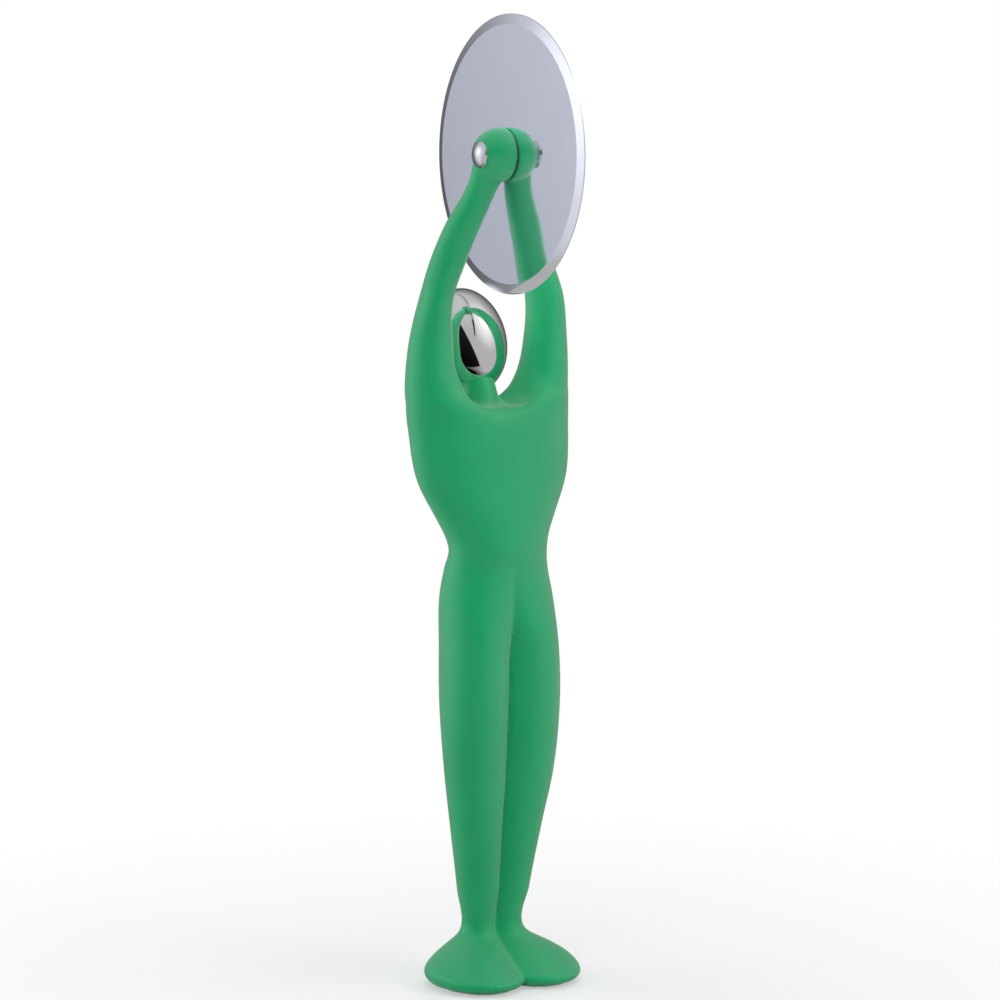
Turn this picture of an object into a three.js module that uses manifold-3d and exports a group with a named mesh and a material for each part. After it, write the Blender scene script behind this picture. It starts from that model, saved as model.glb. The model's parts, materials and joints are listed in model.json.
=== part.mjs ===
// Pizza cutter shaped as a standing figure whose raised hands hold the cutting wheel.
// Millimetres, +Z up. The figure faces -Y, and its two halves mirror each other in the plane x = 0.
// The origin lies on the ground, straight below the wheel's axle.
import * as THREE from "three";
import { mergeVertices } from "three/addons/utils/BufferGeometryUtils.js";
import Module from "manifold-3d";

const wasm = await Module();
wasm.setup();

// Cutting wheel
const BLADE_DIAMETER = 70;
const BLADE_THICKNESS = 1.5;
const BEVEL_WIDTH = 2.6;
const EDGE_THICKNESS = 0.3;

// Axle: a barrel post and its screw, with a sleeve that the wheel turns on
const POST_DIAMETER = 4;
const POST_SHORTFALL = 1;
const SCREW_DIAMETER = 2.5;
const SCREW_LENGTH = 8;
const CAP_DIAMETER = 6.9;
const CAP_HEIGHT = 1.6;
const CAP_RIM = 0.35;
const SLEEVE_WALL = 1;
const SLEEVE_SEAT = 1.5;
const WASHER_THICKNESS = 0.2;
const WASHER_WIDTH = 1.2;

// Hands: long balls, cut flat on the inside, beside the wheel, and on the outside, under the caps
const HAND_DIAMETER = 13.6;
const HAND_LENGTH = 14.3;
const HAND_INNER_DEPTH = 1.2;
const HAND_OUTER_DEPTH = 6.35;
const HAND_BACK = 1.25;
const WHEEL_SLOT_REACH = 1.5;

// Neck and head: an egg that leans back on a short neck, with the arms passing beside it
const NECK_BACK = 15.8;
const NECK_RISE = 8.95;
const NECK_DIAMETER = 8.8;
const NECK_FLARE_DIAMETER = 11.2;
const NECK_LENGTH = 10;
const HEAD_WIDTH = 20.8;
const HEAD_DEPTH = 17.2;
const HEAD_LENGTH = 27.6;
const HEAD_TILT = 23.9;
const HEAD_SINK = 1.3;
const HEAD_SIDE_GAP = 0.9;
const HEAD_TO_WHEEL = 5.982;

// Stud that fixes the head, and the nut that the two halves trap on it
const STUD_DIAMETER = 3;
const STUD_IN_HEAD = 8;
const STUD_IN_NECK = 10.5;
const NUT_ACROSS_FLATS = 5.5;
const NUT_THICKNESS = 2.4;
const NUT_FROM_STUD_END = 1;

// Hollow torso, and the pegs that line up the two halves
const WALL = 2.4;
const CAVITY_BELOW_SHOULDERS = 59;
const PEG_HEIGHTS = [7, 78, 97, 128];
const PEG_DIAMETER = 3;
const PEG_LENGTH = 2.4;
const BOSS_WALL = 1.6;

// Clearances
const RUNNING_CLEARANCE = 0.05;
const SEAT_CLEARANCE = 0.15;
const HEAD_SEAT_GAP = 0.3;
const BOND_LINE = 0.1;

// Foot, leg and torso of one half, as horizontal ellipses from the sole up.
// rise: height above the station before. inner and outer: where the ellipse ends on both sides,
// measured from the middle plane (below zero is past it, where the two halves grow together).
// back: distance of the centre behind the axle. deep: semi-axis from front to back.
const LEG_AND_TORSO = [
  { part: "sole", rise: 0, inner: -0.2, outer: 16.6, back: 3.6, deep: 11.2 },
  { part: "sole edge", rise: 0.7, inner: -2.3, outer: 18.9, back: 3.5, deep: 13.4 },
  { part: "toe", rise: 2.1, inner: -3.8, outer: 20.6, back: 3.5, deep: 15 },
  { part: "foot", rise: 2.7, inner: -3.4, outer: 19.6, back: 5.1, deep: 11.8 },
  { part: "instep", rise: 3, inner: -1.2, outer: 15.3, back: 6.7, deep: 8.8 },
  { part: "ankle bone", rise: 2.6, inner: -0.5, outer: 10.4, back: 8.5, deep: 5.9 },
  { part: "ankle", rise: 1.6, inner: -0.4, outer: 8.9, back: 8.9, deep: 4.7 },
  { part: "shin", rise: 11.3, inner: -0.6, outer: 10, back: 8.2, deep: 5.6 },
  { part: "calf", rise: 16, inner: -0.6, outer: 12.6, back: 6.8, deep: 6.7 },
  { part: "knee", rise: 15, inner: -0.6, outer: 15.2, back: 5.2, deep: 7.6 },
  { part: "thigh", rise: 18, inner: -0.8, outer: 16.4, back: 4.9, deep: 9.3 },
  { part: "crotch", rise: 15, inner: -1.7, outer: 16.1, back: 5.4, deep: 9.8 },
  { part: "hip", rise: 12, inner: -6.4, outer: 15.4, back: 6.8, deep: 9.8 },
  { part: "belt", rise: 7.5, inner: -11.1, outer: 14.1, back: 6.8, deep: 9.6 },
  { part: "waist", rise: 4.5, inner: -13.5, outer: 13.5, back: 5.8, deep: 9.4 },
  { part: "belly", rise: 4, inner: -14.5, outer: 14.5, back: 6.3, deep: 9.6 },
  { part: "ribs", rise: 4, inner: -16.5, outer: 16.5, back: 7, deep: 9.9 },
  { part: "chest", rise: 10, inner: -21.3, outer: 21.3, back: 8.7, deep: 10.3 },
  { part: "shoulders", rise: 14, inner: -19, outer: 23, back: 10.5, deep: 10.5 },
];

// The raised arm, at shares of the height from the shoulders to the axle.
// bow: the inner edge, as a share of the way from the wheel out to the elbow beside the head.
// thick: width from the inner to the outer edge. turn: degrees that the inner edge comes forward.
const ARM = [
  { part: "shoulder top", along: 0.03, bow: -1.102, thick: 35.45, back: 10.45, deep: 9.8, turn: 0 },
  { part: "saddle", along: 0.058, bow: -0.487, thick: 28.7, back: 10.2, deep: 8.95, turn: 5 },
  { part: "collar", along: 0.08, bow: 0.142, thick: 21.5, back: 10.2, deep: 8.3, turn: 9 },
  { part: "armpit", along: 0.105, bow: 0.389, thick: 18.9, back: 10.4, deep: 7.5, turn: 12.5 },
  { part: "shoulder cap", along: 0.13, bow: 0.611, thick: 16.4, back: 10.75, deep: 6.95, turn: 13.5 },
  { part: "upper arm", along: 0.185, bow: 0.867, thick: 13.3, back: 11.05, deep: 6.6, turn: 12 },
  { part: "elbow", along: 0.306, bow: 1, thick: 11.25, back: 10.45, deep: 5.65, turn: 10 },
  { part: "forearm", along: 0.46, bow: 1.04, thick: 8.7, back: 9.5, deep: 5.45, turn: 17 },
  { part: "middle forearm", along: 0.609, bow: 0.739, thick: 9.25, back: 8.5, deep: 4, turn: 35 },
  { part: "upper forearm", along: 0.746, bow: 0.451, thick: 9.2, back: 6.35, deep: 3.85, turn: 32 },
  { part: "wrist", along: 0.868, bow: 0.199, thick: 8.05, back: 3.9, deep: 3.4, turn: 30 },
  { part: "palm", along: 0.957, bow: 0.044, thick: 8.9, back: 1.6, deep: 3, turn: 30 },
];

// Mesh density
const RING_POINTS = 26;
const RINGS_PER_STATION = 2;
const ROUND_POINTS = 30;
const SMALL_ROUND_POINTS = 24;
const BLADE_POINTS = 96;
const ARC_POINTS = 8;
const OUTLINE_POINTS = 240;
const MERGE_DISTANCE = 1e-4;

// Finishes
const GREEN_PLASTIC = { color: 0x2f9c63, roughness: 0.7, metalness: 0 };
const CHROME = { color: 0xd8d8dc, roughness: 0.05, metalness: 1 };
const POLISHED_STEEL = { color: 0xc4c6d0, roughness: 0.12, metalness: 1 };
const PLAIN_STEEL = { color: 0x9a9ca2, roughness: 0.35, metalness: 1 };
const BRASS = { color: 0xb6974a, roughness: 0.35, metalness: 1 };
const NYLON = { color: 0x2c2f2d, roughness: 0.5, metalness: 0 };

// Places along the axle, measured from the middle plane
const bladeRadius = BLADE_DIAMETER / 2;
const halfBlade = BLADE_THICKNESS / 2;
const handInner = halfBlade + WASHER_THICKNESS + 2 * RUNNING_CLEARANCE;
const handCentre = handInner + HAND_INNER_DEPTH;
const handOuter = handCentre + HAND_OUTER_DEPTH;
const postRadius = POST_DIAMETER / 2;
const screwRadius = SCREW_DIAMETER / 2;
const postBore = postRadius + RUNNING_CLEARANCE;
const sleeveRadius = postBore + SLEEVE_WALL;
const sleeveEnd = handInner + SLEEVE_SEAT;
const runningBore = sleeveRadius + RUNNING_CLEARANCE;

// The neck's top, and the head on it
const shoulderHeight = LEG_AND_TORSO.reduce((height, station) => height + station.rise, 0);
const lean = THREE.MathUtils.degToRad(HEAD_TILT);
const headAxis = new THREE.Vector3(0, Math.sin(lean), Math.cos(lean));
const neckTop = new THREE.Vector3(0, NECK_BACK, shoulderHeight + NECK_RISE);
const halfDepth = HEAD_DEPTH / 2;
const halfLength = HEAD_LENGTH / 2;
const headCentre = neckTop.clone().addScaledVector(headAxis, halfLength - HEAD_SINK);

// The lowest axle whose wheel passes the head's outline, in the middle plane, with the gap
const headOutline = new THREE.EllipseCurve(
  headCentre.y, headCentre.z, halfDepth, halfLength, 0, 2 * Math.PI, false, -lean,
);
const wheelReach = bladeRadius + HEAD_TO_WHEEL;
const axleOver = (point) => point.y + Math.sqrt(Math.max(0, wheelReach ** 2 - point.x ** 2));
const axleHeight = Math.max(...headOutline.getPoints(OUTLINE_POINTS).map(axleOver));

// A closed geometry as a solid that can be joined and cut
function solid(geometry) {
  const bare = new THREE.BufferGeometry();
  bare.setAttribute("position", geometry.getAttribute("position"));
  bare.setIndex(geometry.index);
  const merged = mergeVertices(bare, MERGE_DISTANCE);
  const triVerts = new Uint32Array(merged.index.array);
  const vertProperties = merged.attributes.position.array;
  return new wasm.Manifold(new wasm.Mesh({ numProp: 3, vertProperties, triVerts }));
}

// A named mesh of a solid, with its finish
function piece(name, made, finish) {
  const { vertProperties, triVerts } = made.getMesh();
  const geometry = new THREE.BufferGeometry();
  geometry.setAttribute("position", new THREE.BufferAttribute(vertProperties, 3));
  geometry.setIndex(new THREE.BufferAttribute(triVerts, 1));
  geometry.computeVertexNormals();
  const mesh = new THREE.Mesh(geometry, new THREE.MeshStandardMaterial(finish));
  mesh.name = name;
  return mesh;
}

const mirrored = (made) => made.mirror([1, 0, 0]);

// A profile of [distance along X, radius], turned about the wheel's axle
function turned(profile, points = SMALL_ROUND_POINTS) {
  const outline = profile.map(([along, radius]) => new THREE.Vector2(radius, along));
  const geometry = new THREE.LatheGeometry(outline, points).rotateZ(-Math.PI / 2);
  return solid(geometry.translate(0, 0, axleHeight));
}

// A washer or sleeve on the axle, between two places along it
function tube(from, to, bore, radius) {
  const profile = [[from, bore], [from, radius], [to, radius], [to, bore], [from, bore]];
  return turned(profile);
}

// A disc or bar on the axle, between two places along it
function rod(from, to, radius, points) {
  return turned([[from, 0], [from, radius], [to, radius], [to, 0]], points);
}

// A geometry drawn along Y, laid along a direction from a point
function laidAlong(geometry, direction, from) {
  const turn = new THREE.Quaternion().setFromUnitVectors(new THREE.Vector3(0, 1, 0), direction);
  return solid(geometry.applyQuaternion(turn).translate(from.x, from.y, from.z));
}

// A straight bar of a given number of sides, from one point to another
function bar(from, to, radius, sides = SMALL_ROUND_POINTS) {
  const length = from.distanceTo(to);
  const direction = to.clone().sub(from).normalize();
  const geometry = new THREE.CylinderGeometry(radius, radius, length, sides);
  return laidAlong(geometry.translate(0, length / 2, 0), direction, from);
}

// A skin through rings of equal point count, closed at both ends
function loft(rings) {
  const count = rings[0].length;
  const triangles = [];
  for (let level = 0; level < rings.length - 1; level += 1) {
    const low = level * count;
    const high = low + count;
    for (let index = 0; index < count; index += 1) {
      const next = (index + 1) % count;
      triangles.push(low + index, low + next, high + next);
      triangles.push(low + index, high + next, high + index);
    }
  }
  const top = (rings.length - 1) * count;
  for (let index = 1; index < count - 1; index += 1) {
    triangles.push(0, index + 1, index);
    triangles.push(top, top + index, top + index + 1);
  }
  const geometry = new THREE.BufferGeometry().setFromPoints(rings.flat());
  geometry.setIndex(triangles);
  return solid(geometry);
}

// All stations of a half, with their heights above the ground and their inner and outer edges
function figureStations() {
  let height = 0;
  const lower = LEG_AND_TORSO.map((station) => {
    height += station.rise;
    return { ...station, height, turn: 0 };
  });
  const reach = axleHeight - shoulderHeight;
  const besideHead = HEAD_WIDTH / 2 + HEAD_SIDE_GAP;
  const upper = ARM.map((station) => {
    const inner = besideHead * station.bow;
    const outer = inner + station.thick;
    return { ...station, height: shoulderHeight + reach * station.along, inner, outer };
  });
  return [...lower, ...upper];
}

const stations = figureStations();
const stationHeights = stations.map((station) => station.height);
const SECTION_SIZES = ["inner", "outer", "back", "deep", "turn"];
const sectionValues = stations.flatMap((station) => SECTION_SIZES.map((size) => station[size]));
const smoothSections = new THREE.CubicInterpolant(
  stationHeights,
  Float64Array.from(sectionValues),
  SECTION_SIZES.length,
);

// The horizontal section of a half at any height, on a smooth curve through the stations
function sectionAt(height) {
  const [inner, outer, back, deep, turn] = smoothSections.evaluate(height);
  return { out: (outer + inner) / 2, wide: (outer - inner) / 2, back, deep, turn, height };
}

// The core of the hollow torso: it opens on the middle plane, so that the half can be moulded
function coreSectionAt(height) {
  const { out, back, wide, deep } = sectionAt(height);
  const deepAtMiddle = deep * Math.sqrt(1 - (out / wide) ** 2);
  return { out: 0, back, wide: out + wide - WALL, deep: deepAtMiddle - WALL, turn: 0, height };
}

function ring({ out, back, wide, deep, turn, height }) {
  const shape = new THREE.EllipseCurve(-out, back, wide, deep, 0, 2 * Math.PI, false);
  shape.aRotation = -THREE.MathUtils.degToRad(turn);
  const around = shape.getPoints(RING_POINTS).slice(0, RING_POINTS);
  return around.map(({ x, y }) => new THREE.Vector3(x, y, height));
}

// Heights of the rings: the space between two stations is shared out evenly
function ringHeights() {
  const levels = [];
  for (let index = 0; index < stationHeights.length - 1; index += 1) {
    const low = stationHeights[index];
    const step = (stationHeights[index + 1] - low) / RINGS_PER_STATION;
    for (let count = 0; count < RINGS_PER_STATION; count += 1) {
      levels.push(low + step * count);
    }
  }
  return [...levels, stationHeights.at(-1)];
}

// Everything left of the bond line between the halves
function leftSide() {
  const size = 2 * axleHeight;
  const block = new THREE.BoxGeometry(size, size, size);
  return solid(block.translate(-(size + BOND_LINE) / 2, 0, size / 2));
}

// Right hand: a long ball between two flats, which sits a little behind the axle
function rightHand() {
  const radius = HAND_DIAMETER / 2;
  const half = HAND_LENGTH / 2;
  const start = Math.asin(-HAND_INNER_DEPTH / half);
  const end = Math.asin(HAND_OUTER_DEPTH / half);
  const profile = [[handInner, 0]];
  for (let step = 0; step <= ARC_POINTS; step += 1) {
    const angle = start + ((end - start) * step) / ARC_POINTS;
    profile.push([handCentre + half * Math.sin(angle), radius * Math.cos(angle)]);
  }
  profile.push([handOuter, 0]);
  return turned(profile, ROUND_POINTS).translate([0, HAND_BACK, 0]);
}

// Neck: straight under the chin, then flared into the shoulders
function neckColumn() {
  const straight = NECK_DIAMETER / 2;
  const flare = NECK_FLARE_DIAMETER / 2 - straight;
  const inHead = HEAD_DEPTH / 4;
  const outline = [new THREE.Vector2(0, -NECK_LENGTH)];
  for (let step = 0; step <= ARC_POINTS; step += 1) {
    const share = step / ARC_POINTS;
    outline.push(new THREE.Vector2(straight + flare * (1 - share) ** 2, -NECK_LENGTH * (1 - share)));
  }
  outline.push(new THREE.Vector2(straight, inHead), new THREE.Vector2(0, inHead));
  return laidAlong(new THREE.LatheGeometry(outline, SMALL_ROUND_POINTS), headAxis, neckTop);
}

// Head: an egg, larger by a gap where it cuts its seat in the neck
function egg(gap = 0) {
  const geometry = new THREE.SphereGeometry(1, ROUND_POINTS, ROUND_POINTS / 2);
  geometry.scale(HEAD_WIDTH / 2 + gap, halfLength + gap, halfDepth + gap);
  return laidAlong(geometry, headAxis, headCentre);
}

const alongStud = (distance) => neckTop.clone().addScaledVector(headAxis, distance);

function headStud(clearance = 0) {
  const foot = alongStud(-STUD_IN_NECK - clearance);
  return bar(foot, alongStud(STUD_IN_HEAD + clearance), STUD_DIAMETER / 2 + clearance);
}

function nutBlock(clearance = 0) {
  const foot = NUT_FROM_STUD_END - STUD_IN_NECK;
  const corner = (NUT_ACROSS_FLATS / 2 + clearance) / Math.cos(Math.PI / 6);
  return bar(alongStud(foot - clearance), alongStud(foot + NUT_THICKNESS + clearance), corner, 6);
}

function hollowCore() {
  const top = shoulderHeight - WALL;
  const bottom = shoulderHeight - CAVITY_BELOW_SHOULDERS;
  const levels = stationHeights.filter((level) => level > bottom && level < top);
  return loft([bottom, ...levels, top].map((level) => ring(coreSectionAt(level))));
}

const pegCentre = (height, x) => new THREE.Vector3(x, sectionAt(height).back, height);

// A peg, boss or socket across the middle plane at a height
function crossBar(height, from, to, radius) {
  return bar(pegCentre(height, from), pegCentre(height, to), radius);
}

// The outer form of the left half, with the seats of the head and the wheel cut in it
function leftForm() {
  const skin = loft(ringHeights().map((level) => ring(sectionAt(level))));
  const wheelSlot = rod(-handInner, handInner, bladeRadius + WHEEL_SLOT_REACH, ROUND_POINTS);
  return skin
    .add(neckColumn())
    .intersect(leftSide())
    .add(mirrored(rightHand()))
    .subtract(wheelSlot)
    .subtract(egg(HEAD_SEAT_GAP));
}

// One half as a moulding: hollow, with bosses, the axle's bores and the stud's seat
function leftMoulding() {
  const form = leftForm();
  const pastOuterWall = -bladeRadius;
  const bosses = PEG_HEIGHTS.map((height) =>
    crossBar(height, pastOuterWall, -BOND_LINE / 2, PEG_DIAMETER / 2 + BOSS_WALL).intersect(form),
  );
  const hollow = bosses.reduce((made, boss) => made.add(boss), form.subtract(hollowCore()));
  const capSeat = rod(-handOuter - CAP_HEIGHT, -handOuter, CAP_DIAMETER / 2 + SEAT_CLEARANCE);
  const sleeveSeat = rod(-sleeveEnd - RUNNING_CLEARANCE, 0, runningBore);
  return hollow
    .subtract(capSeat)
    .subtract(rod(-handOuter, 0, postBore))
    .subtract(sleeveSeat)
    .subtract(headStud(SEAT_CLEARANCE))
    .subtract(nutBlock(SEAT_CLEARANCE));
}

function leftShell(moulding) {
  const radius = PEG_DIAMETER / 2;
  return PEG_HEIGHTS.reduce(
    (made, height) => made.add(crossBar(height, -WALL, PEG_LENGTH, radius)),
    moulding,
  );
}

function rightShell(moulding) {
  const radius = PEG_DIAMETER / 2 + SEAT_CLEARANCE;
  const depth = PEG_LENGTH + SEAT_CLEARANCE;
  return PEG_HEIGHTS.reduce(
    (made, height) => made.subtract(crossBar(height, 0, depth, radius)),
    mirrored(moulding),
  );
}

function blade() {
  const flat = bladeRadius - BEVEL_WIDTH;
  const halfEdge = EDGE_THICKNESS / 2;
  const half = [[halfEdge, bladeRadius], [halfBlade, flat], [halfBlade, runningBore]];
  const otherHalf = half.map(([along, radius]) => [-along, radius]).reverse();
  return turned([...otherHalf, ...half, otherHalf[0]], BLADE_POINTS);
}

// The dome of a cap, from its top on the axis to its rim, on the right
function capProfile() {
  const radius = CAP_DIAMETER / 2;
  const rise = CAP_HEIGHT - CAP_RIM;
  const ball = (radius ** 2 + rise ** 2) / (2 * rise);
  const end = Math.asin(radius / ball);
  const profile = [];
  for (let step = 0; step <= ARC_POINTS; step += 1) {
    const angle = end * (1 - step / ARC_POINTS);
    profile.push([handOuter + CAP_HEIGHT - ball * (1 - Math.cos(angle)), ball * Math.sin(angle)]);
  }
  return [[handOuter, radius], ...profile];
}

function axleScrew() {
  const tip = handOuter - SCREW_LENGTH;
  return turned([[tip, 0], [tip, screwRadius], [handOuter, screwRadius], ...capProfile()]);
}

// The post is drawn with its cap on the right, and turned over to the left
function axlePost() {
  const end = POST_SHORTFALL - handOuter;
  const boreEnd = SCREW_LENGTH + SEAT_CLEARANCE - handOuter;
  const bore = screwRadius + RUNNING_CLEARANCE;
  const shank = [[boreEnd, 0], [boreEnd, bore], [end, bore], [end, postRadius], [handOuter, postRadius]];
  return mirrored(turned([...shank, ...capProfile()]));
}

function washer() {
  const from = halfBlade + RUNNING_CLEARANCE;
  return tube(from, from + WASHER_THICKNESS, runningBore, runningBore + WASHER_WIDTH);
}

const moulding = leftMoulding();
const pizzaCutter = new THREE.Group();
pizzaCutter.add(
  piece("left_shell", leftShell(moulding), GREEN_PLASTIC),
  piece("right_shell", rightShell(moulding), GREEN_PLASTIC),
  piece("head", egg().subtract(headStud(SEAT_CLEARANCE)), CHROME),
  piece("head_stud", headStud(), PLAIN_STEEL),
  piece("neck_nut", nutBlock().subtract(headStud(RUNNING_CLEARANCE)), BRASS),
  piece("axle_post", axlePost(), CHROME),
  piece("axle_screw", axleScrew(), CHROME),
  piece("axle_sleeve", tube(-sleeveEnd, sleeveEnd, postBore, sleeveRadius), PLAIN_STEEL),
  piece("left_washer", mirrored(washer()), NYLON),
  piece("right_washer", washer(), NYLON),
  piece("blade", blade(), POLISHED_STEEL),
);

export default pizzaCutter;
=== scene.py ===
# %% [markdown]
# # A pizza cutter that stands on its own feet
# The handle is a slim figure in soft matt green plastic. Its raised hands hold a polished steel wheel,
# and a chrome egg on a short neck is its head. The frame brings the pieces at their real size and place.
# This script gives them the looks: one smooth skin over the two body halves, finely turned metal, and a
# pale studio.

import json
import math

import bmesh
import bpy
from mathutils import Euler, Matrix, Vector

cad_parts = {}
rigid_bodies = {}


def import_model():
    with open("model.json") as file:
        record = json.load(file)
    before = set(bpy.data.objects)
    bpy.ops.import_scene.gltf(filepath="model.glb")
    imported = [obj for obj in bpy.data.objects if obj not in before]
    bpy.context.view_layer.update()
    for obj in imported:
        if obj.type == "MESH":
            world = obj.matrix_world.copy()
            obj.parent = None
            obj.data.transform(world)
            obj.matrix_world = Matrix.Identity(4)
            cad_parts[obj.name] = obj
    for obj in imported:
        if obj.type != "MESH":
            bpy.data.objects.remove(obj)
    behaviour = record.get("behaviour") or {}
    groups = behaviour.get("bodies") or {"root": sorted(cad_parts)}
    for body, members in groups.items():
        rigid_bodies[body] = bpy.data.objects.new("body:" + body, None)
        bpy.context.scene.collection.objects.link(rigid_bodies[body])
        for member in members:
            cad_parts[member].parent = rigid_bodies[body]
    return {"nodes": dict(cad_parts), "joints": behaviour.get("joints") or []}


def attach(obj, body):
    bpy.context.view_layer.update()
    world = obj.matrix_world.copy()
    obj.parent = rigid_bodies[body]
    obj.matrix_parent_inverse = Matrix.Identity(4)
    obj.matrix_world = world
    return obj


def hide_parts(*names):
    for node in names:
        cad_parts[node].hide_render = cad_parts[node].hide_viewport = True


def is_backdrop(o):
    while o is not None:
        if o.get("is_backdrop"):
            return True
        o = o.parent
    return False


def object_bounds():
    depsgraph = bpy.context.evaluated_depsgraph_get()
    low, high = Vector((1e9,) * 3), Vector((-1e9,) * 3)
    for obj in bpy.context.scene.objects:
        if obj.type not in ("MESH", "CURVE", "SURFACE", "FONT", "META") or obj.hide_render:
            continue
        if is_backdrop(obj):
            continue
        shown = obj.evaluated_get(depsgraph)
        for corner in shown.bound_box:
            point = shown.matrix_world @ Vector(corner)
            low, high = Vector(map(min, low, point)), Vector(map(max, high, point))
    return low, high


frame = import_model()
cad_low, cad_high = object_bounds()
MM = 0.001
axle = Vector(frame["joints"][0]["pos_m"])
print("frame:", len(frame["nodes"]), "nodes, axle", round(axle.z / MM, 1), "mm above the ground")

# %% [markdown]
# ## Camera
# The photo looks at the figure from its front left, a little from above. The wheel is a true circle, so
# its oval outline in the picture gives the direction, and the height of the feet gives the tilt. The
# camera stands far off with a long lens, so the figure keeps nearly upright edges.

# %% Camera
CAMERA_DISTANCE = 0.9
CAMERA_HEIGHT = 0.2271
CAMERA_AZIMUTH = -31.27
CAMERA_HEADING = -31.112
CAMERA_DOWN = 6.472
CAMERA_LENS = 128.91


def direction(azimuth, elevation=0):
    """A unit vector from the object, with azimuth 0 towards the figure's front and 90 to its +X side."""
    turn, rise = math.radians(azimuth), math.radians(elevation)
    flat = math.cos(rise)
    return Vector((math.sin(turn) * flat, -math.cos(turn) * flat, math.sin(rise)))


camera_data = bpy.data.cameras.new("camera")
camera_data.lens = CAMERA_LENS
camera_data.clip_start = 0.01
camera = bpy.data.objects.new("camera", camera_data)
camera.location = direction(CAMERA_AZIMUTH) * CAMERA_DISTANCE + Vector((0, 0, CAMERA_HEIGHT))
camera.rotation_euler = (math.radians(90 - CAMERA_DOWN), 0, math.radians(CAMERA_HEADING))
bpy.context.scene.collection.objects.link(camera)
bpy.context.scene.camera = camera
print("camera at", [round(value, 3) for value in camera.location])

# %% [markdown]
# ## Making pieces
# Every piece starts in a bmesh, Blender's editable mesh. When its shape is done, doubled points are
# merged, the faces are turned outwards, and the result becomes an object at the origin that rides on a
# body of the frame and takes the place of its plain CAD solid.

# %% Helpers for pieces
MERGE = 1e-6


def clean(shape):
    """Merges doubled points, then turns the faces outwards."""
    bmesh.ops.remove_doubles(shape, verts=shape.verts, dist=MERGE)
    bmesh.ops.recalc_face_normals(shape, faces=shape.faces)


def mesh_object(name, shape):
    """An object with the bmesh as its smooth shaded mesh."""
    mesh = bpy.data.meshes.new(name)
    for face in shape.faces:
        face.smooth = True
    shape.to_mesh(mesh)
    shape.free()
    made = bpy.data.objects.new(name, mesh)
    bpy.context.scene.collection.objects.link(made)
    return made


def fit(piece, body, slot, material, *nodes):
    """Puts a piece on its body, in place of its CAD nodes and with its finish."""
    piece.data.materials.append(material)
    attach(piece, body)
    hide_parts(*nodes)
    print(piece.name, "has", len(piece.data.polygons), "faces and stands for", ", ".join(nodes))


# %% [markdown]
# ## Node materials
# A finish is a small net of shader nodes round one Principled shader. What is the same all over a surface
# is set on the shader itself, and only what changes from place to place runs through nodes.

# %% Helpers for materials
def finish(name, **constants):
    """A new material, with its Principled shader's constant sockets set."""
    material = bpy.data.materials.new(name)
    material.use_nodes = True
    shader = material.node_tree.nodes["Principled BSDF"]
    for socket, value in constants.items():
        shader.inputs[socket.replace("_", " ")].default_value = value
    return material, shader


def node(material, kind, **inputs):
    """A node with its inputs set, by name or, as in _0, by number. A socket given as input is linked."""
    made = material.node_tree.nodes.new("ShaderNode" + kind)
    for name, value in inputs.items():
        socket = made.inputs[int(name[1:])] if name[1:].isdigit() else made.inputs[name.replace("_", " ")]
        if isinstance(value, bpy.types.NodeSocket):
            material.node_tree.links.new(value, socket)
        else:
            socket.default_value = value
    return made


def place(material):
    """The point on the piece, in metres in the object's own frame."""
    return node(material, "TexCoord").outputs["Object"]


def noise(material, vector, size, detail=2.0):
    """Noise whose lumps are about as large as size, in metres."""
    return node(material, "TexNoise", Vector=vector, Scale=1 / size, Detail=detail).outputs["Fac"]


def spread(material, value, low, high, start=0.3, end=0.7):
    """Spreads a value over a range. Unless told otherwise it takes the usual span of a noise."""
    spread_node = node(
        material, "MapRange", Value=value, From_Min=start, From_Max=end, To_Min=low, To_Max=high
    )
    return spread_node.outputs["Result"]


def blend(material, factor, first, second):
    """A colour between two colours."""
    mixed = node(material, "Mix")
    mixed.data_type = "RGBA"
    links = material.node_tree.links
    links.new(factor, mixed.inputs[0])
    for socket, colour in zip(mixed.inputs[6:8], (first, second)):
        if isinstance(colour, bpy.types.NodeSocket):
            links.new(colour, socket)
        else:
            socket.default_value = (*colour, 1)
    return mixed.outputs[2]


def combined(material, operation, first, second):
    """The result of a math node on two values."""
    made = node(material, "Math", _0=first, _1=second)
    made.operation = operation
    return made.outputs[0]


def of_vectors(material, operation, first, second=(0, 0, 0)):
    """The result of a vector math node: a vector, or a value where the operation gives one."""
    made = node(material, "VectorMath", _0=first, _1=second)
    made.operation = operation
    return made.outputs["Value" if operation in ("LENGTH", "DOT_PRODUCT") else "Vector"]


def feed(material, shader, socket, value):
    """Lets a value run into a socket of the shader."""
    material.node_tree.links.new(value, shader.inputs[socket])


def bump(material, shader, height, depth):
    """Lets a value from 0 to 1 stand for a relief of that depth, in metres."""
    relief = node(material, "Bump", Height=height, Distance=depth)
    feed(material, shader, "Normal", relief.outputs["Normal"])


# %% [markdown]
# ## Green plastic
# The body has a soft matt coat over moulded plastic. It is one deep green where it faces the eye, and
# turns milky towards its edges, where light that skims over the coat is caught. So the base colour is
# deep, a sheen lies over it, the gloss is broad, and a very fine grain breaks the surface up close. Tone
# and gloss both vary a little.

# %% Green plastic
GREEN_DEEP = (0.001, 0.335, 0.12)
GREEN_LIGHT = (0.002, 0.365, 0.134)
COAT_GRAIN = 0.25 * MM
COAT_RELIEF = 0.012 * MM
TONE_PATCH = 22 * MM
HANDLING_PATCH = 6 * MM
COAT_ROUGHNESS = (0.32, 0.38)


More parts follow.
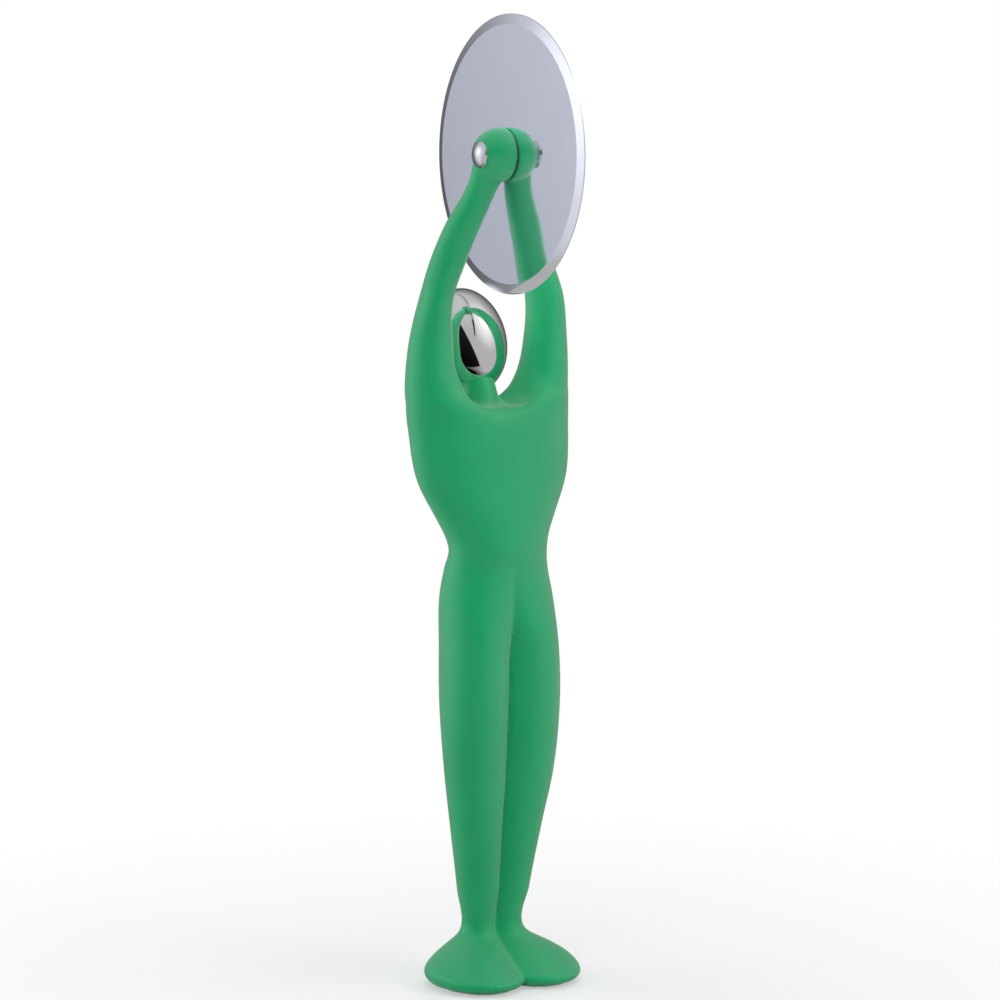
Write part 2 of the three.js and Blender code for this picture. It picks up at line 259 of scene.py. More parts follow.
def soft_green_plastic():
    """A deep green that hands have polished in places, with a sheen and a grain."""
    material, shader = finish(
        "soft_green_plastic",
        Metallic=0.0,
        IOR=1.5,
        Specular_IOR_Level=0.6,
        Sheen_Weight=0.27,
        Sheen_Roughness=0.55,
    )
    here = place(material)
    tone = spread(material, noise(material, here, TONE_PATCH, 3), 0, 1)
    feed(material, shader, "Base Color", blend(material, tone, GREEN_DEEP, GREEN_LIGHT))
    handled = noise(material, here, HANDLING_PATCH, 4)
    feed(material, shader, "Roughness", spread(material, handled, *COAT_ROUGHNESS))
    bump(material, shader, noise(material, here, COAT_GRAIN, 3), COAT_RELIEF)
    return material


green = soft_green_plastic()
print("green plastic:", len(green.node_tree.nodes), "nodes")

# %% [markdown]
# ## Chrome
# The head and the axle caps are chrome plated. Chrome is a nearly perfect mirror, so most of its look is
# what stands around it. A faint change of gloss and tone keeps it from looking too perfect.

# %% Chrome
CHROME_COLOUR = (0.87, 0.865, 0.875)
CHROME_DIM = 0.97
CHROME_ROUGHNESS = (0.02, 0.035)
CHROME_VEIL = 4 * MM


def dimmed(colour, share):
    """A colour at a share of its strength."""
    return [value * share for value in colour]


def chrome_plate():
    """A mirror with a faint veil."""
    material, shader = finish("chrome_plate", Metallic=1.0)
    veil = noise(material, place(material), CHROME_VEIL, 3)
    feed(material, shader, "Roughness", spread(material, veil, *CHROME_ROUGHNESS))
    tone = blend(material, veil, dimmed(CHROME_COLOUR, CHROME_DIM), CHROME_COLOUR)
    feed(material, shader, "Base Color", tone)
    return material


chrome = chrome_plate()
print("chrome:", len(chrome.node_tree.nodes), "nodes")

# %% [markdown]
# ## Wheel steel
# The wheel is polished steel: also a mirror, a little duller, with hair-fine rings left by polishing it
# while it turned. Its bevel is ground, so its lines run across, from the flat to the edge. Both are noise
# drawn out along the lines, which stays sharp close up: it changes only with the distance from the axle
# for the rings, and nearly only with the angle about it for the bevel.

# %% Wheel steel
STEEL_COLOUR = (0.92, 0.935, 1.0)
STEEL_DIM = 0.95
STEEL_ROUGHNESS = (0.05, 0.09)
STEEL_CLOUD = 9 * MM
POLISH_RING = 0.12 * MM
POLISH_RELIEF = 0.0004 * MM
BEVEL_COLOUR = (0.84, 0.84, 0.87)
BEVEL_DIM = 0.93
BEVEL_ROUGHNESS = (0.1, 0.2)
GRIND_LINES = 900
GRIND_RELIEF = 0.001 * MM


def across_axle(material):
    """The place on the wheel, as seen along the axle and measured from it."""
    moved = of_vectors(material, "SUBTRACT", place(material), axle)
    parts = node(material, "SeparateXYZ", Vector=moved).outputs
    return parts["Y"], parts["Z"]


def radius_at(material, y, z):
    """The distance from the axle."""
    in_plane = node(material, "CombineXYZ", Y=y, Z=z)
    return of_vectors(material, "LENGTH", in_plane.outputs[0])


def polished_steel():
    """A mirror with hair-fine rings and soft clouds."""
    material, shader = finish("polished_steel", Metallic=1.0)
    rings = node(material, "CombineXYZ", X=radius_at(material, *across_axle(material)))
    ring_lines = noise(material, rings.outputs[0], POLISH_RING, 3)
    cloud = noise(material, place(material), STEEL_CLOUD, 4)
    feed(material, shader, "Roughness", spread(material, ring_lines, *STEEL_ROUGHNESS))
    tone = blend(material, cloud, dimmed(STEEL_COLOUR, STEEL_DIM), STEEL_COLOUR)
    feed(material, shader, "Base Color", tone)
    bump(material, shader, ring_lines, POLISH_RELIEF)
    return material


def ground_bevel():
    """A duller mirror with lines that run from the flat to the edge."""
    material, shader = finish("ground_bevel", Metallic=1.0)
    y, z = across_axle(material)
    turn = combined(material, "ARCTAN2", z, y)
    stretched = combined(material, "MULTIPLY", turn, GRIND_LINES)
    across = node(material, "CombineXYZ", X=stretched, Y=radius_at(material, y, z))
    lines = noise(material, across.outputs[0], 1.0)
    feed(material, shader, "Roughness", spread(material, lines, *BEVEL_ROUGHNESS))
    tone = blend(material, lines, dimmed(BEVEL_COLOUR, BEVEL_DIM), BEVEL_COLOUR)
    feed(material, shader, "Base Color", tone)
    bump(material, shader, lines, GRIND_RELIEF)
    return material


steel = polished_steel()
bevel_steel = ground_bevel()
print("wheel steel:", steel.name, "and", bevel_steel.name)

# %% [markdown]
# ## Hidden hardware
# The stud, the nut, the sleeve and the washers sit inside the neck and between the hands. Their CAD
# solids are already right, so they stay and only get a finish: turned steel, brass and dark nylon.

# %% Hidden hardware
# dark tone, light tone, metallic, roughness, and the nodes that get the finish
HARDWARE = {
    "turned_steel": ((0.5, 0.51, 0.53), (0.58, 0.59, 0.61), 1.0, 0.3, ("head_stud", "axle_sleeve")),
    "plain_brass": ((0.5, 0.36, 0.12), (0.58, 0.43, 0.16), 1.0, 0.32, ("neck_nut",)),
    "dark_nylon": ((0.02, 0.023, 0.021), (0.03, 0.034, 0.031), 0.0, 0.5, ("left_washer", "right_washer")),
}
TURNING_MARK = 0.4 * MM
TURNING_GLOSS = 0.05

for name, (dark, light, metallic, roughness, nodes) in HARDWARE.items():
    material, shader = finish(name, Metallic=metallic)
    marks = noise(material, place(material), TURNING_MARK, 2)
    feed(material, shader, "Base Color", blend(material, marks, dark, light))
    gloss = spread(material, marks, roughness - TURNING_GLOSS, roughness + TURNING_GLOSS)
    feed(material, shader, "Roughness", gloss)
    for node_name in nodes:
        held = frame["nodes"][node_name].data.materials
        held.clear()
        held.append(material)
    print(name, "on", ", ".join(nodes))

# %% [markdown]
# ## Body stations
# The body is read as horizontal ovals. One half has a list from the sole to the shoulders, with the rise
# from the oval before, and a list for the raised arm up to the axle. Between the ovals every size follows
# a smooth curve, so a few well chosen sections give the whole flowing form.

# %% Body stations
# name, rise from the one before, inner edge, outer edge, centre behind the axle, half depth, all in mm
LEG_AND_TORSO = [
    ("sole", 0, -0.2, 16.6, 3.6, 11.2),
    ("sole edge", 0.7, -2.3, 18.9, 3.5, 13.4),
    ("toe", 2.1, -3.8, 20.6, 3.5, 15),
    ("foot", 2.7, -3.4, 19.6, 5.1, 11.8),
    ("instep", 3, -1.2, 15.3, 6.7, 8.8),
    ("ankle bone", 2.6, -0.5, 10.4, 8.5, 5.9),
    ("ankle", 1.6, -0.4, 8.9, 8.9, 4.7),
    ("shin", 11.3, -0.6, 10, 8.2, 5.6),
    ("calf", 16, -0.6, 12.6, 6.8, 6.7),
    ("knee", 15, -0.6, 15.2, 5.2, 7.6),
    ("thigh", 18, -0.8, 16.4, 4.9, 9.3),
    ("crotch", 15, -1.7, 16.1, 5.4, 9.8),
    ("hip", 12, -6.4, 15.4, 6.8, 9.8),
    ("belt", 7.5, -11.1, 14.1, 6.8, 9.6),
    ("waist", 4.5, -13.5, 13.5, 5.8, 9.4),
    ("belly", 4, -14.5, 14.5, 6.3, 9.6),
    ("ribs", 4, -16.5, 16.5, 7, 9.9),
    ("chest", 10, -21.3, 21.3, 8.7, 10.3),
    ("shoulders", 14, -19, 23, 10.5, 10.5),
]
# name, share of the way from the shoulders to the axle, inner edge, width, centre behind the axle,
# half depth, and the degrees that the inner edge comes forward
ARM = [
    ("shoulder top", 0.03, -12.45, 35.57, 10.45, 9.8, 1.2),
    ("saddle", 0.058, -5.5, 28.7, 10.2, 8.95, 4.3),
    ("collar", 0.08, 1.6, 21.5, 10.2, 8.3, 9),
    ("armpit", 0.105, 4.4, 18.9, 10.4, 7.5, 12.5),
    ("shoulder cap", 0.13, 6.9, 16.4, 10.75, 6.95, 13.5),
    ("upper arm", 0.185, 9.8, 13.3, 11.05, 6.6, 12),
    ("elbow", 0.306, 11.3, 11.25, 10.45, 5.65, 10),
    ("forearm", 0.46, 11.75, 8.7, 9.5, 5.45, 17),
    ("middle forearm", 0.609, 8.35, 9.25, 8.5, 4, 35),
    ("upper forearm", 0.746, 5.1, 9.2, 6.35, 3.85, 32),
    ("wrist", 0.868, 2.25, 8.05, 3.9, 3.4, 30),
    ("palm", 0.957, 0.5, 8.9, 1.6, 3, 30),
]


def body_stations():
    """Heights, and the oval at each: inner edge, outer edge, centre and half depth in mm, and its turn."""
    height = 0
    stations = []
    for name, rise, inner, outer, back, deep in LEG_AND_TORSO:
        height += rise
        stations.append((height, (inner, outer, back, deep, 0)))
    reach = axle.z / MM - height
    for name, share, inner, width, back, deep, turn in ARM:
        stations.append((height + reach * share, (inner, inner + width, back, deep, turn)))
    return stations


def slopes(stations):
    """The slope of each size at each station: the mean of the slopes on both sides, flat at the ends."""
    rates = []
    for (low, before), (high, after) in zip(stations, stations[1:]):
        rates.append([(end - start) / (high - low) for start, end in zip(before, after)])
    flat = [0.0] * len(rates[0])
    inside = [
        [(below + above) / 2 for below, above in zip(first, second)]
        for first, second in zip(rates, rates[1:])
    ]
    return [flat, *inside, flat]


stations = body_stations()
station_slopes = slopes(stations)


def oval_at(height):
    """The oval at any height, on a smooth curve through the stations."""
    index = max(number for number, (low, sizes) in enumerate(stations[:-1]) if low <= height)
    (low, before), (high, after) = stations[index], stations[index + 1]
    gap = high - low
    share = (height - low) / gap
    from_low = (1 + 2 * share) * (1 - share) ** 2
    lean_low = share * (1 - share) ** 2 * gap
    lean_high = share**2 * (share - 1) * gap
    sizes_and_slopes = zip(before, after, station_slopes[index], station_slopes[index + 1])
    return [
        from_low * start + (1 - from_low) * end + lean_low * start_slope + lean_high * end_slope
        for start, end, start_slope, end_slope in sizes_and_slopes
    ]


print("body:", len(stations), "stations from 0 to", round(stations[-1][0], 1), "mm")

# %% [markdown]
# ## Half a body
# The figure is the same on both sides, so only its left half is drawn. Circles are stretched to the
# ovals, stacked and bridged to one leg, torso half and arm. The form could be sculpted too, but rings keep
# every section at its written size. What passes the middle plane is cut off.

# %% Half a body
RING_POINTS = 72
# in mm, as the stations are
RING_STEP = 1.2


def ring(shape, matrix):
    """A circle of edges, stretched and placed by a matrix."""
    circle = bmesh.ops.create_circle(shape, segments=RING_POINTS, radius=1, matrix=matrix)
    return list({edge for vert in circle["verts"] for edge in vert.link_edges})


def skin_through(shape, matrices):
    """A closed skin through rings."""
    rings = [ring(shape, matrix) for matrix in matrices]
    for low, high in zip(rings, rings[1:]):
        bmesh.ops.bridge_loops(shape, edges=low + high)
    for end in (rings[0], rings[-1]):
        bmesh.ops.edgeloop_fill(shape, edges=end)


def half_rings():
    """Matrices of the rings of the left half, close enough for a smooth outline."""
    top = stations[-1][0]
    count = round(top / RING_STEP)
    for index in range(count + 1):
        height = top * index / count
        inner, outer, back, deep, turn = oval_at(height)
        spot = Vector((-(inner + outer) / 2, back, height)) * MM
        size = Vector(((outer - inner) / 2, deep, 1 / MM)) * MM
        yield Matrix.LocRotScale(spot, Euler((0, 0, -math.radians(turn))), size)


def cut_off(shape, spot, past):
    """Cuts off all that lies past a plane."""
    bmesh.ops.bisect_plane(
        shape,
        geom=[*shape.verts, *shape.edges, *shape.faces],
        plane_co=spot,
        plane_no=past,
        clear_outer=True,
    )


body = bmesh.new()
skin_through(body, half_rings())
cut_off(body, (0, 0, 0), (1, 0, 0))
print("half a body:", len(body.faces), "faces")

# %% [markdown]
# ## Hands
# Each hand is a soft ball that holds one end of the axle. It is a long ball, cut flat beside the wheel, so
# that the wheel has room to turn, and under the cap, which needs a seat. The mirror operator then gives
# the other half of the body, with its hand.

# %% Hands
BALL_FINENESS = 5
HAND_RADIUS = 6.8 * MM
HAND_HALF_LENGTH = 7.15 * MM
HAND_BACK = 1.25 * MM
HAND_INNER = 1.05 * MM
HAND_CENTRE = 2.25 * MM
HAND_OUTER = 8.6 * MM


def cut_flat(shape, spot, past):
    """Cuts off all that lies past a plane, and closes the cut."""
    cut_off(shape, spot, past)
    bmesh.ops.holes_fill(shape, edges=[edge for edge in shape.edges if edge.is_boundary])


def left_hand():
    """A long ball, cut flat beside the wheel and under the cap."""
    shape = bmesh.new()
    spot = Matrix.Translation(axle + Vector((-HAND_CENTRE, HAND_BACK, 0)))
    size = Matrix.Diagonal((HAND_HALF_LENGTH, HAND_RADIUS, HAND_RADIUS, 1))
    bmesh.ops.create_icosphere(shape, subdivisions=BALL_FINENESS, radius=1, matrix=spot @ size)
    cut_flat(shape, axle - Vector((HAND_INNER, 0, 0)), (1, 0, 0))
    cut_flat(shape, axle - Vector((HAND_OUTER, 0, 0)), (-1, 0, 0))
    return mesh_object("left_hand_form", shape)


hand_object = left_hand()
body.from_mesh(hand_object.data)
bpy.data.objects.remove(hand_object)
bmesh.ops.mirror(body, geom=[*body.verts, *body.edges, *body.faces], axis="X", merge_dist=MERGE)
print("both halves with their hands:", len(body.faces), "faces")

# %% [markdown]
# ## Neck
# The neck is a short column that leans back and flares where it leaves the shoulders. It is bridged from
# rings, as the body is, so that the flare is one formula. All these forms still run through each other,
# which the next step takes care of.

# %% Neck
NECK_TOP = Vector((0, 15.8, 152.95)) * MM
NECK_TILT = 23.9
NECK_RADIUS = 4.4 * MM
NECK_FLARE = 1.2 * MM
NECK_LENGTH = 10 * MM
NECK_IN_HEAD = 1.5 * MM
NECK_RINGS = 10

neck_lean = Euler((-math.radians(NECK_TILT), 0, 0))
neck_axis = Vector((0, 0, 1))
neck_axis.rotate(neck_lean)


def neck_rings():
    """Matrices of the neck's rings: flared at the shoulders, straight under the head."""
    lean = neck_lean.to_matrix().to_4x4()
    for index in range(NECK_RINGS + 1):
        along = index / NECK_RINGS
        radius = NECK_RADIUS + NECK_FLARE * (1 - along) ** 2
        rise = Matrix.Translation((0, 0, (NECK_LENGTH + NECK_IN_HEAD) * along - NECK_LENGTH))
        yield Matrix.Translation(NECK_TOP) @ lean @ rise @ Matrix.Diagonal((radius, radius, 1, 1))


skin_through(body, neck_rings())
bmesh.ops.recalc_face_normals(body, faces=body.faces)
print("body form:", len(body.faces), "faces before they are made one skin")

# %% [markdown]
# ## One skin
# A moulded body has no lines where arm, chest and neck meet. Booleans could join the forms, but would
# leave a sharp line wherever two of them cross. A voxel remesh rebuilds them all as one even skin of small
# squares, which can then be shaped like clay.

# %% One skin
VOXEL = 0.53 * MM


def remeshed(made, voxel):
    """The mesh of an object, rebuilt as one skin of even squares."""
    remesh = made.modifiers.new("one_skin", "REMESH")
    remesh.mode = "VOXEL"
    remesh.voxel_size = voxel
    ready = made.evaluated_get(bpy.context.evaluated_depsgraph_get())
    shape = bmesh.new()
    shape.from_mesh(ready.to_mesh())
    bpy.data.objects.remove(made)
    return shape


skin = remeshed(mesh_object("body_form", body), VOXEL)
print("one skin:", len(skin.faces), "small squares")

# %% [markdown]
# ## Shoulders
# The shoulders fall off softly round the neck. The arms' roots are pressed down beside it, as a thumb
# would do it in clay, and the lip of the chest in front is melted to a slope. Both work on the one skin,
# where they leave no line.

# %% Shoulders
ROOT = Vector((6.5, 8, 152)) * MM
ROOT_REACH = 7.5 * MM
ROOT_DEPTH = 4.2 * MM
LIP = Vector((0, 4, 145)) * MM
LIP_REACH = Vector((20, 8, 10)) * MM
# each round of melting takes a larger share of the reach
LIP_SHARES = (0.6, 0.8, 1.0)
LIP_TIMES = 34
SMOOTH_IN = 0.5
AXES = {"use_axis_x": True, "use_axis_y": True, "use_axis_z": True}


def press_roots(shape):
    """Presses the arms' roots down along the neck, so that its foot shows between them."""
    for vert in shape.verts:
        away = (Vector((abs(vert.co.x), vert.co.y, vert.co.z)) - ROOT).length / ROOT_REACH
        if away < 1:
            vert.co -= neck_axis * ROOT_DEPTH * (1 - away**2) ** 2


def melt_lip(shape):
    """Rounds the lip of the chest under the neck, most in its middle."""
    for share in LIP_SHARES:
        near = []
        for vert in shape.verts:
            offset = vert.co - LIP
            away = [part / (reach * share) for part, reach in zip(offset, LIP_REACH)]
            if Vector(away).length < 1:
                near.append(vert)
        for _ in range(LIP_TIMES):
            bmesh.ops.smooth_vert(shape, verts=near, factor=SMOOTH_IN, **AXES)


press_roots(skin)
melt_lip(skin)
print("shoulders: roots pressed by", round(ROOT_DEPTH / MM, 1), "mm at most, lip melted")

# %% [markdown]
# ## Smooth skin
# Smoothing takes the steps of the voxels away and rounds the inner corners. Plain smoothing would make the
# thin arms and legs thinner, so each pull inwards is followed by a slightly larger push outwards. The
# soles and the flats of the hands are then set true again.

# %% Smooth skin
SMOOTH_TIMES = 12
SMOOTH_OUT = -0.52
SOLE_HEIGHT = 0.2 * MM


def soften(shape, verts, times):
    """Smooths in and out again by turns, so that steps melt and thin forms keep their width."""
    for _ in range(times):
        bmesh.ops.smooth_vert(shape, verts=verts, factor=SMOOTH_IN, **AXES)
        bmesh.ops.smooth_vert(shape, verts=verts, factor=SMOOTH_OUT, **AXES)


soften(skin, skin.verts[:], SMOOTH_TIMES)
for vert in skin.verts:
    if vert.co.z < SOLE_HEIGHT:
        vert.co.z = 0
    if vert.co.z > axle.z - HAND_RADIUS and abs(vert.co.x) < HAND_INNER:
        vert.co.x = math.copysign(HAND_INNER, vert.co.x)
figure = mesh_object("figure_body", skin)
fit(figure, "handle", "body_plastic", green, "left_shell", "right_shell")

# %% [markdown]
# ## Head
# The head is a plain egg, wider than it is deep, that leans back in line with the neck, whose top runs a
# little way into it. It is a ball stretched to its three sizes. A stretched ball keeps the mirror finish
# free of dents, which a smoothed lump would not.

# %% Head
HEAD_HALF_WIDTH = 10.4 * MM
HEAD_HALF_DEPTH = 8.6 * MM
HEAD_HALF_LENGTH = 13.8 * MM
HEAD_SINK = 1.3 * MM
HEAD_TURNS = 128
HEAD_RINGS = 80

head_centre = NECK_TOP + neck_axis * (HEAD_HALF_LENGTH - HEAD_SINK)
head_sizes = Vector((HEAD_HALF_WIDTH, HEAD_HALF_DEPTH, HEAD_HALF_LENGTH))
head_shape = bmesh.new()
bmesh.ops.create_uvsphere(
    head_shape,
    u_segments=HEAD_TURNS,
    v_segments=HEAD_RINGS,
    radius=1,
    matrix=Matrix.LocRotScale(head_centre, neck_lean, head_sizes),
)
clean(head_shape)
head = mesh_object("chrome_head", head_shape)
fit(head, "handle", "head_chrome", chrome, "head")

# %% [markdown]
# ## Wheel
# The wheel is a disc of spring steel with a hole for its sleeve. Its profile is short: the hole, the
# flat, and the ground bevel down to a narrow edge, the same on both faces. A fine spin gives a true round
# mirror. The bevel's faces get the ground finish, found by their distance from the axle.

# %% Wheel
WHEEL_RADIUS = 35 * MM
WHEEL_HALF = 0.75 * MM
BEVEL_WIDTH = 2.6 * MM
EDGE_HALF = 0.15 * MM
WHEEL_BORE = 3.1 * MM
WHEEL_TURNS = 360


def spun(points, steps):
    """A line of points, spun about the axle to a closed form."""
    shape = bmesh.new()
    line = [shape.verts.new(point) for point in points]
    edges = [shape.edges.new(pair) for pair in zip(line, line[1:])]
    bmesh.ops.spin(
        shape, geom=[*line, *edges], cent=axle, axis=(1, 0, 0), angle=math.tau, steps=steps, use_merge=True
    )
    clean(shape)
    return shape


flat_radius = WHEEL_RADIUS - BEVEL_WIDTH
wheel_line = [
    (WHEEL_BORE, WHEEL_HALF),
    (flat_radius, WHEEL_HALF),
    (WHEEL_RADIUS, EDGE_HALF),
]
other_face = [(radius, -across) for radius, across in reversed(wheel_line)]
closed_line = [*wheel_line, *other_face, wheel_line[0]]
wheel_points = [axle + Vector((across, 0, radius)) for radius, across in closed_line]
wheel = mesh_object("cutting_wheel", spun(wheel_points, WHEEL_TURNS))
fit(wheel, "wheel", "blade_steel", steel, "blade")
wheel.data.materials.append(bevel_steel)
for face in wheel.data.polygons:
    face.use_smooth = False
    if (face.center - axle).length > flat_radius:
        face.material_index = 1
print("wheel:", round(2 * WHEEL_RADIUS / MM), "mm across")

# %% [markdown]
# ## Axle caps
# A domed chrome cap closes the axle on the outside of each hand. The dome is an arc that ends in a short
# upright rim, spun about the axle together with its shank, which runs inside the hand.

# %% Axle caps
CAP_RADIUS = 3.45 * MM
CAP_HEIGHT = 1.6 * MM
CAP_RIM = 0.35 * MM
CAP_ARC = 24
CAP_TURNS = 96
POST_RADIUS = 2 * MM
SCREW_RADIUS = 1.25 * MM
POST_REACH = 16.2 * MM
SCREW_REACH = 8 * MM


def cap_line(shank_radius, reach):
    """Distance from the hand's flat and radius, from the dome's top to the shank's end."""
    rise = CAP_HEIGHT - CAP_RIM
    ball = (CAP_RADIUS**2 + rise**2) / (2 * rise)
    end = math.asin(CAP_RADIUS / ball)
    dome = []
    for step in range(CAP_ARC + 1):
        angle = end * step / CAP_ARC
        dome.append((CAP_HEIGHT - ball * (1 - math.cos(angle)), ball * math.sin(angle)))
    return [*dome, (0, CAP_RADIUS), (0, shank_radius), (-reach, shank_radius), (-reach, 0)]


def axle_cap(name, side, shank_radius, reach, node_name):
    """A cap with its shank, on the left hand for side -1 and on the right one for side 1."""
    points = [
        axle + Vector((side * (HAND_OUTER + out), 0, radius))
        for out, radius in cap_line(shank_radius, reach)
    ]
    cap = mesh_object(name, spun(points, CAP_TURNS))
    fit(cap, "handle", "cap_chrome", chrome, node_name)


axle_cap("left_axle_cap", -1, POST_RADIUS, POST_REACH, "axle_post")
axle_cap("right_axle_cap", 1, SCREW_RADIUS, SCREW_REACH, "axle_screw")

# %% [markdown]
# ## Floor
# The photo's ground is plain white. The floor is white paint near the feet, so that a faint shadow shows
# where the object stands, and fades to pure white further out. A lamp that bright would wash out the
# green, so the white is a glow of the floor itself, which only the camera, mirrors and glass see.

# %% Floor
FLOOR_RADIUS = 1.3
FLOOR_POINTS = 96
FLOOR_COLOUR = (0.9, 0.9, 0.9, 1)
SHADOW_START = 0.05
SHADOW_REACH = 0.22
SHADOW_SHARE = 0.6


def seen_ray(material):
    """1 for the rays of the camera and of mirrors and glass, 0 for the rays that light the surfaces."""
    rays = node(material, "LightPath").outputs
    first = combined(material, "MAXIMUM", rays["Is Camera Ray"], rays["Is Glossy Ray"])
    return combined(material, "MAXIMUM", first, rays["Is Transmission Ray"])


def empty_material(name):
    """A new material without nodes."""
    material = bpy.data.materials.new(name)
    material.use_nodes = True
    material.node_tree.nodes.clear()
    return material


def floor_paint():
    """White paint that shows a shadow near the feet, and plain white further out."""
    material = empty_material("white_floor")
    paint = node(material, "BsdfDiffuse", Color=FLOOR_COLOUR)
    white = node(material, "Emission", Strength=1.0)
    distance = of_vectors(material, "LENGTH", place(material))
    far = spread(material, distance, 1 - SHADOW_SHARE, 1, SHADOW_START, SHADOW_REACH)
    seen = combined(material, "MULTIPLY", far, seen_ray(material))
    mixed = node(material, "MixShader", _0=seen, _1=paint.outputs[0], _2=white.outputs[0])
    node(material, "OutputMaterial", Surface=mixed.outputs[0])
    return material


floor_shape = bmesh.new()
bmesh.ops.create_circle(floor_shape, cap_ends=True, segments=FLOOR_POINTS, radius=FLOOR_RADIUS)
floor = mesh_object("floor", floor_shape)
floor.data.materials.append(floor_paint())
floor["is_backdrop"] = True
print("floor:", 2 * FLOOR_RADIUS, "m across")

# %% [markdown]
# ## Tent of cloth
# The chrome head mirrors the set, so the set can be read off it: a tent of pale cloth, brightest where
# lamps shine on it from the right and from the left, dim behind the object, and open in front, where the
# camera stands, as a black slit with three corners. Its left side is a little blue, as the wheel shows
# it. A dome that only reflections see carries that picture. The light that the polished wheel passes on
# to the plastic is raised, since real lamps are brighter than white.

# %% Tent of cloth
TENT_RADIUS = 1.45
TENT_MIDDLE = Vector((0, 0.012, 0.165))
TENT_BASE = 0.5 * MM
CLOTH_TONE = 0.5
SLIT_TONE = 0.02
SLIT_EDGE = 0.012
BOUNCED_GAIN = 6.5
LEFT_AIM = -110
LEFT_TINT = (0.88, 0.9, 1.0)
# azimuth from the camera to the right, elevation, reach in degrees, fall-off, strength
TENT_GLOWS = {
    "right lamp": (80, 40, 38, 2.0, 0.6),
    "right lamp core": (82, 42, 10, 1.0, 1.2),
    "left lamp": (-88, 3, 49, 1.6, 0.45),
    "left lamp core": (-91, 14, 20, 1.0, 0.5),
    "front ground": (-15, -32, 60, 1.0, -0.47),
    "left ground": (-130, -28, 40, 1.0, -0.3),
    "roof": (0, 85, 45, 1.0, 0.12),
    "near ground": (0, -90, 62, 0.6, -0.46),
}
# degrees from straight behind the object, up to which the cloth is dimmest and from which on it isn't dim
BACK_REACH = (20, 66)
BACK_SHARE = 0.17
# azimuth from the camera to the right, and elevation
SLIT_CORNERS = [(-3, 49), (-52, -17.6), (42.4, -17.6)]


def towards(material, spot, aim):
    """The cosine of the angle between a direction in the tent and an aim."""
    return of_vectors(material, "DOT_PRODUCT", spot, aim)


def cloth_share(material, spot, dark):
    """1 on the cloth and dark in the slit, whose sides are planes through the tent's middle."""
    corners = [direction(CAMERA_AZIMUTH + turn, rise) for turn, rise in SLIT_CORNERS]
    inside = 1.0
    for first, second in zip(corners, corners[1:] + corners[:1]):
        side = towards(material, spot, first.cross(second).normalized())
        inside = combined(material, "MINIMUM", side, inside)
    return spread(material, inside, 1, dark, 0, SLIT_EDGE)


def tent_cloth():
    """Glowing cloth with its bright and dim places, its dark slit and its blue side."""
    material = empty_material("tent_cloth")
    spot = of_vectors(material, "NORMALIZE", of_vectors(material, "SUBTRACT", place(material), TENT_MIDDLE))
    tone = CLOTH_TONE
    for turn, rise, reach, fall, strength in TENT_GLOWS.values():
        aim = direction(CAMERA_AZIMUTH + turn, rise)
        near = spread(material, towards(material, spot, aim), 0, 1, math.cos(math.radians(reach)), 1)
        lit = combined(material, "MULTIPLY", combined(material, "POWER", near, fall), strength)
        tone = combined(material, "ADD", lit, tone)
    dim, full = [math.cos(math.radians(reach)) for reach in BACK_REACH]
    behind = towards(material, spot, direction(CAMERA_AZIMUTH + 180))
    tone = combined(material, "MULTIPLY", tone, spread(material, behind, 1, BACK_SHARE, full, dim))
    tone = combined(material, "MULTIPLY", tone, cloth_share(material, spot, SLIT_TONE))
    bounced = combined(material, "MINIMUM", node(material, "LightPath").outputs["Diffuse Depth"], 1.0)
    tone = combined(material, "MULTIPLY", tone, spread(material, bounced, 1, BOUNCED_GAIN))
    left = towards(material, spot, direction(CAMERA_AZIMUTH + LEFT_AIM))
    tint = blend(material, spread(material, left, 0, 1), (1, 1, 1), LEFT_TINT)
    glow = node(material, "Emission", Color=tint, Strength=tone)
    node(material, "OutputMaterial", Surface=glow.outputs[0])
    return material


def mirrored_only(name, shape, material):
    """Part of the set that only reflections see."""
    made = mesh_object(name, shape)
    made.data.materials.append(material)
    made.visible_camera = False
    made.visible_diffuse = False
    made.visible_shadow = False
    made.visible_transmission = False
    made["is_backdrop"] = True


tent_shape = bmesh.new()
bmesh.ops.create_icosphere(tent_shape, subdivisions=BALL_FINENESS, radius=TENT_RADIUS)
cut_flat(tent_shape, Vector((0, 0, TENT_BASE)), (0, 0, -1))
mirrored_only("mirrored_tent", tent_shape, tent_cloth())
print("tent:", 2 * TENT_RADIUS, "m across, with", len(TENT_GLOWS), "lit or dim places")

# %% [markdown]
# ## Card
# From behind and a little above, the flat of the wheel would mirror the black slit and look like a hole. A
# level card at the top of the head, pale from above, hides the slit from the wheel there. It is clear from
# below, so the head still mirrors the slit.

# %% Card
CARD_HEIGHT = 177.5 * MM
CARD_REACH = 1.35
# azimuths of its two ends, from the camera to the right
CARD_TURNS = (-62, 50)


def card_paper():
    """Pale from above, and clear from below."""
    material = empty_material("card_paper")
    glow = node(material, "Emission", Strength=CLOTH_TONE)
    clear = node(material, "BsdfTransparent")
    below = node(material, "NewGeometry").outputs["Backfacing"]
    either = node(material, "MixShader", _0=below, _1=glow.outputs[0], _2=clear.outputs[0])
    node(material, "OutputMaterial", Surface=either.outputs[0])
    return material


card_shape = bmesh.new()
level = Matrix.Translation((0, 0, CARD_HEIGHT))
bmesh.ops.create_circle(card_shape, cap_ends=True, segments=RING_POINTS, radius=CARD_REACH, matrix=level)
for turn, side in zip(CARD_TURNS, (-90, 90)):
    cut_off(card_shape, (0, 0, 0), direction(CAMERA_AZIMUTH + turn + side))
mirrored_only("mirrored_card", card_shape, card_paper())
print("card:", round(CARD_HEIGHT / MM, 1), "mm above the ground")

